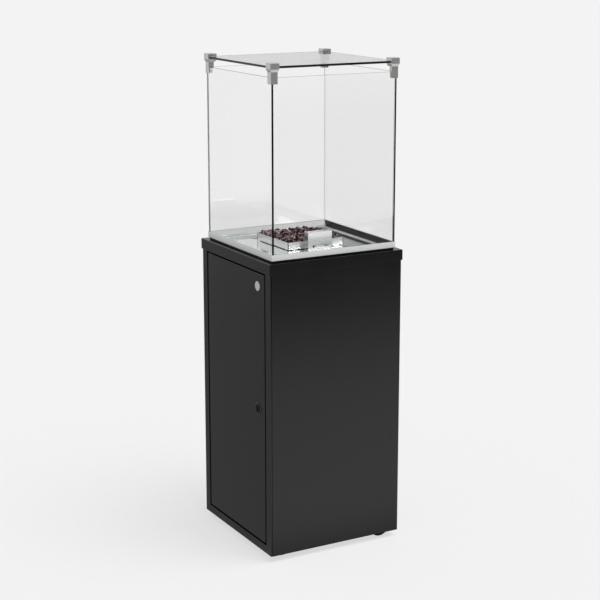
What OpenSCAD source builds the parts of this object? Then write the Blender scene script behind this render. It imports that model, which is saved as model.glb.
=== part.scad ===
// Tall square patio gas fireplace: a steel cabinet for the gas bottle, a stainless burner tray on top
// and a glass box round the flame, closed by a glass lid that four corner clamps hold above the panes.
// Millimetres. The door faces -Y, +X is to the right, +Z is up, and the floor is z = 0.

/* [Cabinet] */
// Width and depth of the square cabinet
body_w = 405; // [390:1:430]
// Height from the lower edge of the panels to the top of the cap
body_h = 813; // [780:1:860]
// Clearance between the floor and the lower edge of the panels
leg_h = 18; // [16:1:22]
// Thickness of the cabinet's sheet steel
sheet = 1.5; // [1.2:0.1:2]
// Width of the folded flanges that carry the base, back and cap
flange_w = 15; // [13:1:17]
// Depth of the folds round the door and round its opening
fold_d = 18; // [16:1:20]
// Shadow groove between the front frame and the side panels
corner_groove = 3.5; // [1:0.5:5]
// Width of the frame beside the door opening
stile_w = 27; // [24:1:32]
// Height of the frame below the door opening
bottom_rail = 23; // [20:1:30]
// Distance from the top of the cap down to the door opening
top_rail = 31; // [31:1:40]
// Small bevel on the folded edges that show
edge_c = 0.8; // [0.4:0.1:1.2]

/* [Top cap] */
// Overhang of the cap beyond the cabinet
cap_over = 3; // [2:0.5:5]
// Height of the cap's down-turned skirt
cap_skirt = 29; // [20:1:30]
// How far the cap reaches in under the tray's pan
cap_lap = 7; // [5:0.5:10]

/* [Door] */
// Gap at the left and right of the door
door_side_gap = 7; // [6:0.5:9]
// Gap above and below the door
door_end_gap = 5; // [4.5:0.5:7]
// Distance of the pivot axis from the door's left edge and front face
pivot_inset = 8; // [8:0.5:9]
// Diameter of the pivot pins
pivot_d = 8; // [6:0.5:8]
// Diameter of the plain disc near the top of the door
badge_d = 26; // [20:1:30]
// Distance of the disc and the lock from the door's right edge
trim_inset = 37; // [30:1:39]
// Distance of the disc below the door's top edge
badge_drop = 35; // [25:1:60]

/* [Lock] */
// Diameter of the lock's outer ring
lock_ring_d = 36; // [34:1:40]
// Diameter of the turning core
lock_core_d = 24; // [22:1:26]
// Diameter of the threaded lock barrel
lock_barrel_d = 22; // [18:1:24]
// Length of the cam from the core's axis
cam_l = 52; // [50:1:54]

/* [Burner tray] */
// Height of the tray's rim
rim_h = 16; // [14:1:20]
// Thickness of the tray's sheet
tray_sheet = 1.2; // [1:0.1:1.5]
// Height of the dark spacer between the cap and the tray
plinth_h = 5; // [5:0.5:8]
// How far the spacer stands back from the tray's rim
plinth_in = 3.5; // [2:0.5:5]
// Width of the tray's ledge inside the panes, which carries the retainers
retainer_w = 12; // [11:0.5:14]
// Depth of the tray's floor below the ledge
floor_drop = 2.2; // [1.8:0.1:2.8]
// Height of the sloping glass retainers
retainer_h = 14.5; // [10:0.5:16]
// Length of the corner pieces of the retainers
retainer_corner = 42; // [30:1:60]
// Pitch of the vent slots in the tray's floor
slot_pitch = 12; // [11:0.5:12]
// Length of one vent slot
slot_l = 30; // [22:0.5:32]
// Width of one vent slot
slot_w = 5; // [3:0.5:6]

/* [Glass] */
// Distance of the panes' outer faces behind the cabinet's faces
glass_setback = 13.5; // [12:0.5:16]
// Height of the side panes
glass_h = 474; // [440:1:520]
// Thickness of the side panes
pane_t = 5; // [4:0.5:5.5]
// Thickness of the glass lid
lid_t = 6; // [5:0.5:8]
// Vent gap between the side panes and the lid
vent_gap = 23; // [22:1:32]
// Thickness of the silicone seats under the panes
seat_t = 1.8; // [1:0.1:3]

/* [Corner clamps] */
// Wall of a clamp outside the glass
clamp_wall = 2.2; // [2:0.1:3]
// Length of a clamp's jaws along the panes
clamp_leg = 19.5; // [19:0.5:22]
// Thickness of the inner jaws
jaw_t = 4; // [3:0.5:4.5]
// Depth to which a clamp grips the side panes
clamp_grip = 17; // [15:1:22]
// Width of a clamp's square head
head_w = 26; // [24:0.5:30]
// How far the head stands out beyond the jaws
head_over = 3; // [2:0.5:4]
// Height of the head above the lid
head_cap = 8; // [5:1:10]
// Diameter of the grub screws
grub_d = 4; // [3:0.5:5]

/* [Burner] */
// Outer width of the square burner trough
trough_w = 172; // [164:1:174]
// Height of the trough above the tray's floor
trough_h = 22; // [21:1:24]
// Gap under the trough
trough_lift = 2; // [1.5:0.5:3]
// Diameter of the burner tubes
burner_d = 15; // [12:1:16]
// Mean size of a lava stone
stone_d = 27; // [25:1:29]
// Width of the igniter cover
cover_w = 74; // [70:1:80]
// Depth of the igniter cover
cover_d = 22.5; // [22:0.5:24]
// Height of the igniter cover
cover_h = 49; // [45:1:55]
// Diameter of the two holes in the igniter cover
cover_hole_d = 6; // [4:0.5:8]
// Distance between the two holes
cover_hole_gap = 39; // [30:1:44]

/* [Gas controls] */
// Height of the control panel
panel_h = 90; // [84:1:110]
// Distance of the control panel behind the cabinet's front
panel_back = 35.5; // [35.5:0.5:40]
// Distance of the knob and the button from the middle
control_x = 70; // [60:1:80]
// Diameter of the control knob
knob_d = 42; // [36:1:48]
// Length of the control knob
knob_l = 21; // [19:0.5:22]
// Travel of the knob when it is pushed in
knob_travel = 5; // [3:0.5:5]
// Diameter of the valve's spindle
spindle_d = 8; // [6:0.5:8]
// Diameter of the igniter's button
button_d = 14; // [12:1:16]
// Travel of the igniter's button
button_travel = 6; // [4:0.5:7]
// Outer diameter of the threaded gas inlet
inlet_d = 13.16; // [9:0.02:16]
// Length of the threaded gas inlet
inlet_l = 15; // [12:1:20]
// Outer diameter of the gas pipe
pipe_d = 8; // [6:0.5:10]

/* [Wheels and feet] */
// Diameter of a wheel
wheel_d = 60; // [56:1:64]
// Width of a wheel
wheel_w = 24; // [20:1:26]
// Distance of a wheel's outer face inside the side panel
wheel_inset = 20.5; // [20:0.5:24]
// Distance of the wheels' axis from the back of the cabinet
wheel_back = 44.5; // [43:0.5:50]
// Diameter of the axles
axle_d = 8; // [6:0.5:10]
// Diameter of a front foot
foot_d = 40; // [30:1:44]
// Distance of a front foot's axis from the cabinet's faces
foot_inset = 54.5; // [50:0.5:70]

/* [Hidden] */
$fn = 48;

// Clearances
slip = 0.3;        // between pieces that only stand beside each other
turn_fit = 0.05;   // radial, round a pin, shaft or spindle that turns
past = 1;          // how far a cut runs past a face

// Cabinet
H = body_w / 2;
z_bot = leg_h;
z_cap = leg_h + body_h;
z_under = z_cap - sheet;
inner = H - sheet;
base_z0 = z_bot + sheet;
base_z1 = base_z0 + sheet;
panel_front = -H + sheet + corner_groove;
flange_front = -H + fold_d + slip;
screw_r = 2;
screw_rows = 5;
screw_margin = 60;
base_slot_l = 70;
base_slot_w = 10;
base_slot_x = 45;
base_slot_pitch = 30;
vent_l = 90;
vent_w = 7;
vent_x = 65;
vent_pitch = 22;
vent_rows = 6;
vent_low = 50;     // lowest slot of the lower field above the base
vent_high = 230;   // lowest slot of the upper field below the cap
cap_hw = H + cap_over;

// Door
open_hw = H - stile_w;
open_z0 = z_bot + bottom_rail;
open_z1 = z_cap - top_rail;
door_hw = open_hw - door_side_gap;
door_z0 = open_z0 + door_end_gap;
door_z1 = open_z1 - door_end_gap;
pivot_x = -door_hw + pivot_inset;
pivot_y = -H + pivot_inset;
bush_wall = 2;
bush_r = pivot_d / 2 + turn_fit + bush_wall;
bush_flange = 2;
pin_l = 13;
trim_x = door_hw - trim_inset;
badge_z = door_z1 - badge_drop;
badge_t = 1.2;

// Lock
lock_z = (door_z0 + door_z1) / 2;
lock_ring_t = 1.2;
lock_head_t = 2.4;
lock_barrel_l = 15;
lock_shaft_r = 7;
lock_grip_w = 4;
nut_t = 4;
cam_t = 2.5;
cam_w = 14;
cam_y = -H + fold_d + slip;

// Tray and glass
glass_hw = H - glass_setback;
glass_in = glass_hw - pane_t;
tray_hw = glass_hw + slip + tray_sheet;
ledge_in = glass_in - retainer_w;
pan_hw = ledge_in + tray_sheet;
cap_open_hw = ledge_in - cap_lap;
plinth_hw = tray_hw - plinth_in;
plinth_gap = 1.3;  // between the spacer and the tray's pan
z_rim = z_cap + plinth_h;
z_ledge = z_rim + tray_sheet;
z_floor = z_ledge - floor_drop;
seat_l = 30;
seat_end = 55;     // between a seat and the end of its pane
glass_z0 = z_ledge + seat_t;
glass_z1 = glass_z0 + glass_h;
lid_z0 = glass_z1 + vent_gap;
lid_z1 = lid_z0 + lid_t;
pane_play = 0.25;

// Clamps
clamp_out = glass_hw + pane_play + clamp_wall;
clamp_in = clamp_out - clamp_leg;
jaw_in = glass_in - pane_play - jaw_t;
head_out = clamp_out + head_over;
head_in = head_out - head_w;
clamp_z0 = glass_z1 - clamp_grip;
head_lip = 2;
head_taper = 7;
head_z0 = lid_z0 - head_lip;
head_z1 = lid_z1 + head_cap;
grub_z = glass_z1 - 11;
grub_l = 5;

// Burner
trough_hw = trough_w / 2;
trough_z0 = z_floor + trough_lift;
trough_z1 = z_floor + trough_h;
trough_in = trough_hw - tray_sheet;
trough_bed = trough_z0 + tray_sheet;
trough_foot = 18;
trough_foot_in = 7;
burner_z = trough_bed + burner_d / 2 + 1;
burner_half = 60;
burner_bar_x = 45;
mix_r = 11;
mix_wall = 1.5;
mix_z0 = z_floor - 45;
stub_flange = 3;
cover_x0 = trough_hw + slip;
cover_x1 = cover_x0 + cover_d;
cover_hole_up = 9.4;
pilot_x = cover_x0 + 12.7;
pilot_gap = 14;
bracket_half = 24;
pilot_body_r = 4;
electrode_r = 3;
thermocouple_r = 2.5;
pilot_foot = 1.2;
fitting_drop = 9;
injector_hex_h = 14;
injector_z0 = mix_z0 - 4 - injector_hex_h;
slot_past = 13.5;  // how far the slots reach past the cover
slot_x1 = cover_x1 + slot_past;
slot_cols = 2 * floor((trough_hw - 1) / slot_pitch) + 1;
// Height, stones along each side and random seed of the lower and the upper layer
lava_row = floor(2 * trough_in / stone_d);
lava_layers = [[trough_bed + 8, lava_row - 1, 11], [trough_z1 - 8, lava_row, 3001]];

// Gas controls
cp_y = -H + panel_back;
cp_z1 = open_z1 - 5;
cp_z0 = cp_z1 - panel_h;
valve_x = -control_x;
piezo_x = control_x;
control_z = (cp_z0 + cp_z1) / 2 + 5;
valve_w = 50;
valve_d = 44;
valve_h = 40;
valve_back = cp_y + sheet + valve_d;
boss_l = 2;
boss_r = 9;
outlet_l = 12;
outlet_r = 7;
port_in = 12;      // of the ports from the valve's axis and from its back
panel_top_lip = 20;
panel_low_lip = 10;
knob_rear = cp_y - boss_l - knob_travel - past;
knob_front = knob_rear - knob_l;
knob_cavity = 6;
knob_face_t = 2;
spindle_tip = knob_front + knob_face_t + knob_travel + 0.5;
spindle_flat = 0.75;
piezo_l = 47;
bezel_r = 14;
bezel_t = 2.5;
piezo_r = 11;
button_in = 15;    // depth of the button behind the panel's face
button_play = 0.1;
lead_d = 3;
lead_bend = 8;
lead_drop = 8;     // of the thermocouple's lead above the pilot pipe
lead_loop = 20;    // of the ignition lead behind the igniter
lead_side = 38;    // of the ignition lead's rise beside the pilot
pilot_pipe_d = 4;
pilot_pipe_side = 19;
shield_z = z_floor - 23;
shield_t = 1;
shield_play = 3;   // between the cap's opening and the shield's walls
shield_hw = cap_open_hw + shield_play;
shield_lip = 10;
shield_slot_l = 80;
shield_slot_w = 8;
shield_slot_x = 90;
shield_pitch = 24;
shield_rows = 9;
lead_window = 12;
lead_window_end = 8;

// Wheels and feet
wheel_r = wheel_d / 2;
wheel_y = H - wheel_back;
wheel_x1 = H - wheel_inset;
wheel_x0 = wheel_x1 - wheel_w;
hub_r = 19;
hub_holes = 5;
hub_web = 2;       // half thickness of the hub's web
hub_boss_wall = 4;
hub_rim_wall = 3;
bracket_t = 2;
bracket_half_y = 18;
bracket_z1 = wheel_r * 2 + 8;
bracket_x0 = wheel_x0 - 4;
bracket_x1 = wheel_x1 + 4;
foot_xy = H - foot_inset;
foot_pad_h = 7;
foot_stud_r = 5;
foot_nut_r = 9;
foot_nut_h = 5;

// Colours
black_coat = "#2b2b2d";
dark_metal = "#1d1d1f";
stainless = "#c9cbcc";
nickel = "#b9bbba";
clear_glass = [0.82, 0.9, 0.88, 0.35];
stone_red = "#5a3a3e";
brass = "#b08d4a";
copper = "#b06a45";
zinc = "#9a9c9e";
rubber = "#242424";
plastic = "#1b1b1c";

// Shared shapes

module box(lo, hi) {
    translate(lo) cube(hi - lo);
}

module both_x() {
    children();
    mirror([1, 0, 0]) children();
}

module four_corners() {
    for (mx = [0, 1], my = [0, 1])
        mirror([mx, 0, 0]) mirror([0, my, 0]) children();
}

module ring(hw_out, hw_in, z0, z1) {
    translate([0, 0, z0]) linear_extrude(z1 - z0) difference() {
        square(2 * hw_out, center = true);
        square(2 * hw_in, center = true);
    }
}

// A cylinder along Y, from y0 to y1
module rod_y(x, z, r, y0, y1) {
    translate([x, y0, z]) rotate([-90, 0, 0]) cylinder(r = r, h = y1 - y0);
}

// A cylinder along X, from x0 to x1
module rod_x(y, z, r, x0, x1) {
    translate([x0, y, z]) rotate([0, 90, 0]) cylinder(r = r, h = x1 - x0);
}

module rod_z(x, y, r, z0, z1) {
    translate([x, y, z0]) cylinder(r = r, h = z1 - z0);
}

module hex_z(x, y, r, z0, z1) {
    translate([x, y, z0]) cylinder(r = r, h = z1 - z0, $fn = 6);
}

// Flat shape with round ends, long along X
module slot_2d(l, w) {
    square([l - w, w], center = true);
    for (s = [-1, 1]) translate([s * (l - w) / 2, 0]) circle(d = w);
}

// Prism along X of an outline given in (y, z)
module along_x(x0, x1) {
    translate([x0, 0, 0]) rotate([90, 0, 90]) linear_extrude(x1 - x0) children();
}

// Prism along Y of an outline given in (x, z)
module along_y(y0, y1) {
    translate([0, y1, 0]) rotate([90, 0, 0]) linear_extrude(y1 - y0) children();
}

// Folded sheet front: a block whose front edges at y0 are bevelled by c
module front_block(hx, z0, z1, y0, y1, c) {
    intersection() {
        translate([0, 0, z0]) linear_extrude(z1 - z0)
            polygon([[-hx + c, y0], [hx - c, y0], [hx, y0 + c], [hx, y1], [-hx, y1], [-hx, y0 + c]]);
        along_x(-hx, hx)
            polygon([[y0, z0 + c], [y0, z1 - c], [y0 + c, z1], [y1, z1], [y1, z0], [y0 + c, z0]]);
    }
}

// Round pipe through a list of points whose runs lie along the axes, with bends of radius bend
module pipe(points, r, bend) {
    last = len(points) - 1;
    function unit(v) = v / norm(v);
    for (i = [0 : last - 1]) {
        run = points[i + 1] - points[i];
        d = unit(run);
        a = points[i] + (i == 0 ? 0 : bend) * d;
        b = points[i + 1] - (i == last - 1 ? 0 : bend) * d;
        translate(a) multmatrix(frame_along(d)) cylinder(r = r, h = norm(b - a));
    }
    for (i = [1 : last - 1]) {
        a = unit(points[i] - points[i - 1]);
        b = unit(points[i + 1] - points[i]);
        centre = points[i] - a * bend + b * bend;
        x = -b;
        z = cross(x, a);
        multmatrix([
            [x[0], a[0], z[0], centre[0]],
            [x[1], a[1], z[1], centre[1]],
            [x[2], a[2], z[2], centre[2]],
            [0, 0, 0, 1]]) rotate_extrude(angle = 90) translate([bend, 0]) circle(r = r);
    }
}

// Rotation that carries +Z onto an axis direction d
function frame_along(d) =
    let (side = abs(d[2]) > 0.5 ? [1, 0, 0] : [0, 0, 1], u = cross(side, d), v = cross(d, u))
    [[u[0], v[0], d[0], 0], [u[1], v[1], d[1], 0], [u[2], v[2], d[2], 0], [0, 0, 0, 1]];

// Cabinet

module base_plate() {
    front = -H + sheet + slip;
    rear = H - 2 * sheet - slip;
    half = inner - sheet - slip;
    color(black_coat) translate([0, 0, base_z0]) linear_extrude(sheet) difference() {
        translate([-half, front]) square([2 * half, rear - front]);
        for (s = [-1, 1]) {
            translate([s * (wheel_x0 + wheel_x1) / 2, wheel_y])
                square([wheel_w + 2, wheel_d + 6], center = true);
            translate([s * foot_xy, -foot_xy]) circle(r = foot_stud_r + turn_fit);
        }
        for (row = [-3 : 3], s = [-1, 1])
            translate([s * base_slot_x, row * base_slot_pitch]) slot_2d(base_slot_l, base_slot_w);
    }
}

module side_panel() {
    box([inner, panel_front, z_bot], [H, H, z_under]);
    difference() {
        box([H - flange_w, H - sheet, z_bot], [H, H, z_under]);
        panel_screw_holes();
    }
    box([H - flange_w, flange_front, z_bot], [H, H, z_bot + sheet]);
    difference() {
        box([H - flange_w, flange_front, z_under - sheet], [H, H, z_under]);
        cap_screw_holes();
    }
}

module right_side_panel() {
    color(black_coat) side_panel();
}

module left_side_panel() {
    color(black_coat) mirror([1, 0, 0]) side_panel();
}

function screw_z(i) =
    base_z1 + screw_margin + i * (z_under - base_z1 - 2 * screw_margin) / (screw_rows - 1);

module panel_screw_holes() {
    for (i = [0 : screw_rows - 1])
        rod_y(H - flange_w / 2, screw_z(i), screw_r + turn_fit, H - 4 * sheet, H + past);
}

module cap_screw_holes() {
    for (y = [-1, 1])
        rod_z(H - flange_w / 2, y * H / 2, screw_r + turn_fit, z_under - 3 * sheet, z_under + past);
}

module back_panel() {
    color(black_coat) difference() {
        box([-inner + slip, H - 2 * sheet, base_z0], [inner - slip, H - sheet, z_under - sheet - slip]);
        both_x() panel_screw_holes();
        for (band = [base_z1 + vent_low, z_under - vent_high], row = [0 : vent_rows - 1], s = [-1, 1])
            translate([s * vent_x, H, band + row * vent_pitch]) rotate([90, 0, 0])
                linear_extrude(4 * sheet) slot_2d(vent_l, vent_w);
    }
}

module front_frame() {
    back = -H + fold_d;
    color(black_coat) difference() {
        union() {
            difference() {
                front_block(H, z_bot, z_under, -H, -H + sheet, edge_c);
                box([-open_hw, -H - past, open_z0], [open_hw, back, open_z1]);
            }
            along_y(-H + edge_c, back) difference() {
                translate([-open_hw - sheet, open_z0 - sheet])
                    square([2 * (open_hw + sheet), open_z1 - open_z0 + 2 * sheet]);
                translate([-open_hw, open_z0]) square([2 * open_hw, open_z1 - open_z0]);
            }
            both_x() box([inner - sheet, -H + sheet / 2, z_bot], [inner, back, z_under]);
            box([-inner, -H + sheet / 2, z_bot], [inner, back, z_bot + sheet]);
            box([-inner, -H + sheet / 2, z_under - sheet], [inner, back, z_under]);
        }
        rod_z(pivot_x, pivot_y, pivot_d / 2 + turn_fit, open_z0 - 2 * sheet, open_z0 + past);
        rod_z(pivot_x, pivot_y, pivot_d / 2 + turn_fit, open_z1 - past, open_z1 + 2 * sheet);
    }
}

module top_cap() {
    c = edge_c;
    side = [[-cap_hw, z_cap - cap_skirt], [-cap_hw, z_cap - c], [-cap_hw + c, z_cap],
        [cap_hw - c, z_cap], [cap_hw, z_cap - c], [cap_hw, z_cap - cap_skirt]];
    color(black_coat) difference() {
        intersection() {
            along_x(-cap_hw, cap_hw) polygon(side);
            along_y(-cap_hw, cap_hw) polygon(side);
        }
        box([-cap_hw + sheet, -cap_hw + sheet, z_cap - cap_skirt - past],
            [cap_hw - sheet, cap_hw - sheet, z_under]);
        box([-cap_open_hw, -cap_open_hw, z_under - past], [cap_open_hw, cap_open_hw, z_cap + past]);
    }
}

module cabinet_screws() {
    head_r = 4;
    head_t = 1.8;
    color(zinc) both_x() {
        for (i = [0 : screw_rows - 1]) {
            rod_y(H - flange_w / 2, screw_z(i), screw_r, H - 6 * sheet, H);
            rod_y(H - flange_w / 2, screw_z(i), head_r, H, H + head_t);
        }
        for (y = [-1, 1]) {
            rod_z(H - flange_w / 2, y * H / 2, screw_r, z_under - 2 * sheet, z_under);
            rod_z(H - flange_w / 2, y * H / 2, head_r, z_under - sheet - head_t, z_under - sheet);
        }
    }
}

// Door

module door_panel() {
    back = -H + fold_d;
    color(black_coat) difference() {
        front_block(door_hw, door_z0, door_z1, -H, back, edge_c);
        box([-door_hw + sheet, -H + sheet, door_z0 + sheet],
            [door_hw - sheet, back + past, door_z1 - sheet]);
        rod_z(pivot_x, pivot_y, bush_r + turn_fit, door_z0 - past, door_z0 + 2 * sheet);
        rod_z(pivot_x, pivot_y, bush_r + turn_fit, door_z1 - 2 * sheet, door_z1 + past);
        rod_y(trim_x, lock_z, lock_barrel_d / 2 + turn_fit, -H - past, -H + 2 * sheet);
    }
}

module door_badge() {
    r = badge_d / 2;
    color(nickel) translate([trim_x, -H, badge_z]) rotate([90, 0, 0]) rotate_extrude()
        polygon([[0, 0], [r, 0], [r, badge_t - 0.4], [r - 0.6, badge_t], [0, badge_t]]);
}

// One pin for the lower pivot; the upper one is its mirror image
module pivot_pin() {
    shoulder = door_end_gap - bush_flange - slip;
    rod_z(pivot_x, pivot_y, pivot_d / 2, open_z0 - sheet, open_z0 + shoulder + pin_l);
    rod_z(pivot_x, pivot_y, bush_r, open_z0, open_z0 + shoulder);
    rod_z(pivot_x, pivot_y, bush_r, open_z0 - sheet - 3, open_z0 - sheet);
}

module pivot_bush() {
    translate([pivot_x, pivot_y, 0]) difference() {
        union() {
            translate([0, 0, door_z0 - bush_flange]) cylinder(r = bush_r + 1, h = bush_flange);
            translate([0, 0, door_z0]) cylinder(r = bush_r, h = 8);
        }
        translate([0, 0, door_z0 - bush_flange - past])
            cylinder(r = pivot_d / 2 + turn_fit, h = bush_flange + 8 + 2 * past);
    }
}

module top_and_bottom() {
    children();
    translate([0, 0, open_z0 + open_z1]) mirror([0, 0, 1]) children();
}

module door_pivots() {
    color(zinc) top_and_bottom() pivot_pin();
}

module door_bushes() {
    color(plastic) top_and_bottom() pivot_bush();
}

// Lock

module lock_housing() {
    color(plastic) translate([trim_x, -H, lock_z]) rotate([90, 0, 0]) rotate_extrude() polygon([
        [lock_shaft_r + turn_fit, -lock_barrel_l], [lock_barrel_d / 2, -lock_barrel_l],
        [lock_barrel_d / 2, 0], [lock_ring_d / 2, 0], [lock_ring_d / 2, lock_ring_t - 0.5],
        [lock_ring_d / 2 - 1, lock_ring_t], [lock_core_d / 2 + 0.2, lock_ring_t],
        [lock_core_d / 2 + 0.2, -0.2], [lock_shaft_r + turn_fit, -0.2]]);
}

module lock_nut() {
    color(zinc) difference() {
        translate([trim_x, -H + sheet, lock_z]) rotate([-90, 0, 0])
            cylinder(r = lock_barrel_d / 2 + 5, h = nut_t, $fn = 6);
        rod_y(trim_x, lock_z, lock_barrel_d / 2 + turn_fit, -H, -H + sheet + nut_t + past);
    }
}

module lock_core() {
    front = -H - lock_head_t;
    color(plastic) difference() {
        union() {
            translate([trim_x, -H, lock_z]) rotate([90, 0, 0]) rotate_extrude()
                polygon([[0, 0], [lock_core_d / 2, 0], [lock_core_d / 2, lock_head_t - 0.6],
                    [lock_core_d / 2 - 0.8, lock_head_t], [0, lock_head_t]]);
            rod_y(trim_x, lock_z, lock_shaft_r, -H, cam_y);
        }
        box([trim_x - lock_grip_w / 2, front - past, lock_z - lock_core_d / 2 + 3],
            [trim_x + lock_grip_w / 2, front + 1.6, lock_z + lock_core_d / 2 - 3]);
    }
}

module lock_cam() {
    color(zinc) {
        translate([trim_x, cam_y + cam_t, lock_z]) rotate([90, 90, 0]) linear_extrude(cam_t) {
            circle(d = cam_w + 4);
            translate([0, -cam_w / 2]) square([cam_l - cam_w / 2, cam_w]);
            translate([cam_l - cam_w / 2, 0]) circle(d = cam_w);
        }
        rod_y(trim_x, lock_z, 4, cam_y + cam_t, cam_y + cam_t + 2.5);
    }
}

// Burner tray

module tray_plinth() {
    color(dark_metal) ring(plinth_hw, pan_hw + plinth_gap, z_cap, z_rim);
}

// Slots in a row at each side of the trough, shorter where the pilot stands under its cover
module vent_slots_2d() {
    for (side = [-1, 1], col = [0 : slot_cols - 1]) {
        y = (col - (slot_cols - 1) / 2) * slot_pitch;
        at_pilot = side > 0 && abs(y) < bracket_half + slot_w;
        l = at_pilot ? slot_x1 - cover_x1 - past : slot_l;
        translate([side * (slot_x1 - l / 2), y]) slot_2d(l, slot_w);
    }
}

module pilot_holes_2d(play) {
    translate([pilot_x, 0]) circle(r = pilot_body_r + play);
    translate([pilot_x, pilot_gap]) circle(r = electrode_r + play);
    translate([pilot_x, -pilot_gap]) circle(r = thermocouple_r + play);
}

module burner_tray() {
    color(stainless) {
        ring(tray_hw, tray_hw - tray_sheet, z_rim, z_rim + rim_h);
        ring(tray_hw, ledge_in, z_rim, z_ledge);
        ring(pan_hw, ledge_in, z_floor - tray_sheet, z_ledge);
        translate([0, 0, z_floor - tray_sheet]) linear_extrude(tray_sheet) difference() {
            square(2 * pan_hw, center = true);
            vent_slots_2d();
            circle(r = mix_r + slip);
            pilot_holes_2d(slip);
        }
    }
}

// Cross-section of a retainer in (distance from the middle, height): a foot under a sloping face
module retainer_outline() {
    t = tray_sheet;
    r0 = ledge_in + 0.2;
    r1 = glass_in - slip;
    polygon([[r0, z_ledge], [r1, z_ledge], [r1, z_ledge + t], [r0 + 2 * t, z_ledge + t],
        [r1, z_ledge + retainer_h - 1.6 * t], [r1, z_ledge + retainer_h], [r0, z_ledge + t]]);
}

module retainer_strips() {
    seam = glass_in - retainer_corner - slip;
    color(stainless) for (turn = [0 : 3])
        rotate([0, 0, 90 * turn]) along_x(-seam, seam) retainer_outline();
}

module retainer_corners() {
    seam = glass_in - retainer_corner;
    reach = 2 * tray_hw;
    module leg() {
        intersection() {
            along_x(seam, glass_in) retainer_outline();
            linear_extrude(2 * z_rim) polygon([[0, 0], [reach, reach], [0, reach]]);
        }
    }
    color(stainless) for (turn = [0 : 3]) rotate([0, 0, 90 * turn]) {
        leg();
        mirror([1, -1, 0]) leg();
    }
}

// Glass box

module glass_seats() {
    seat_at = glass_hw - seat_end - seat_l / 2;
    color(rubber) for (turn = [0 : 3], s = [-1, 1]) rotate([0, 0, 90 * turn])
        box([s * seat_at - seat_l / 2, glass_in, z_ledge], [s * seat_at + seat_l / 2, glass_hw, glass_z0]);
}

module full_pane() {
    color(clear_glass) box([-glass_hw, -glass_hw, glass_z0], [glass_hw, -glass_in, glass_z1]);
}

// The side panes stand between the front and the rear one
module inner_pane() {
    color(clear_glass) box([glass_in, -glass_in + slip, glass_z0], [glass_hw, glass_in - slip, glass_z1]);
}

module front_glass() full_pane();
module rear_glass() mirror([0, 1, 0]) full_pane();
module right_glass() inner_pane();
module left_glass() mirror([1, 0, 0]) inner_pane();

module top_glass() {
    color(clear_glass) box([-glass_hw, -glass_hw, lid_z0], [glass_hw, glass_hw, lid_z1]);
}

// Clamp for the corner at +X +Y: a tapered block, slotted for two panes and for the lid
module corner_clamp() {
    c = 1;
    side = [[clamp_in, clamp_z0], [clamp_out, clamp_z0], [clamp_out, head_z0 - head_taper],
        [head_out, head_z0], [head_out, head_z1 - c], [head_out - c, head_z1], [head_in + c, head_z1],
        [head_in, head_z1 - c], [head_in, head_z0], [clamp_in, head_z0 - head_taper]];
    far = head_out + past;
    color(nickel) difference() {
        intersection() {
            along_x(0, far) polygon(side);
            along_y(0, far) polygon(side);
        }
        box([0, 0, clamp_z0 - past], [jaw_in, jaw_in, head_z0 - head_taper]);
        pane_slot();
        mirror([1, -1, 0]) pane_slot();
        box([0, 0, lid_z0 - pane_play], [glass_hw + pane_play, glass_hw + pane_play, lid_z1 + pane_play]);
        both_jaws() rod_y((clamp_in + jaw_in) / 2, grub_z, grub_d / 2 + turn_fit, jaw_in - past, glass_in);
    }
}

module pane_slot() {
    box([0, glass_in - pane_play, clamp_z0 - past],
        [glass_hw + pane_play, glass_hw + pane_play, glass_z1 + pane_play]);
}

module both_jaws() {
    children();
    mirror([1, -1, 0]) children();
}

module rear_right_clamp() corner_clamp();
module rear_left_clamp() mirror([1, 0, 0]) corner_clamp();
module front_right_clamp() mirror([0, 1, 0]) corner_clamp();
module front_left_clamp() mirror([1, 0, 0]) mirror([0, 1, 0]) corner_clamp();

module clamp_screws() {
    x = (clamp_in + jaw_in) / 2;
    tip = glass_in - turn_fit;
    color(zinc) four_corners() both_jaws() difference() {
        rod_y(x, grub_z, grub_d / 2, tip - grub_l, tip);
        translate([x, tip - grub_l - past, grub_z]) rotate([-90, 0, 0])
            cylinder(r = grub_d * 0.28, h = 2 + past, $fn = 6);
    }
}

// Burner

module burner_trough() {
    foot_out = trough_in - trough_foot_in;
    foot_in = foot_out - trough_foot;
    color(stainless) {
        ring(trough_hw, trough_in, trough_z0, trough_z1);
        translate([0, 0, trough_z0]) linear_extrude(tray_sheet) difference() {
            square(2 * trough_in, center = true);
            circle(r = mix_r + slip);
        }
        four_corners() box([foot_in, foot_in, z_floor], [foot_out, foot_out, trough_z0]);
    }
}

module burner_bars(play) {
    r = burner_d / 2 + play;
    for (s = [-1, 1])
        rod_y(s * burner_bar_x, burner_z, r, -burner_half - play, burner_half + play);
    rod_x(0, burner_z, r, -burner_bar_x, burner_bar_x);
    rod_z(0, 0, mix_r + play, trough_bed, burner_z);
    rod_z(0, 0, mix_r + stub_flange + play, trough_bed - play, trough_bed + 2 + play);
}

module burner_tube() {
    ports = 9;
    color(zinc) difference() {
        burner_bars(0);
        for (s = [-1, 1], i = [0 : ports - 1])
            rod_z(s * burner_bar_x, -burner_half + 12 + i * (2 * burner_half - 24) / (ports - 1), 1.5,
                burner_z + burner_d / 4, burner_z + burner_d);
    }
}

// One broken stone: the hull of two blocks turned and sized at random
module stone(seed) {
    turn = rands(0, 360, 6, seed);
    side = rands(0.56, 0.82, 6, seed + 1);
    hull() for (k = [0, 3])
        rotate([turn[k], turn[k + 1], turn[k + 2]])
            cube(stone_d * [side[k], side[k + 1], side[k + 2]], center = true);
}

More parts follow.
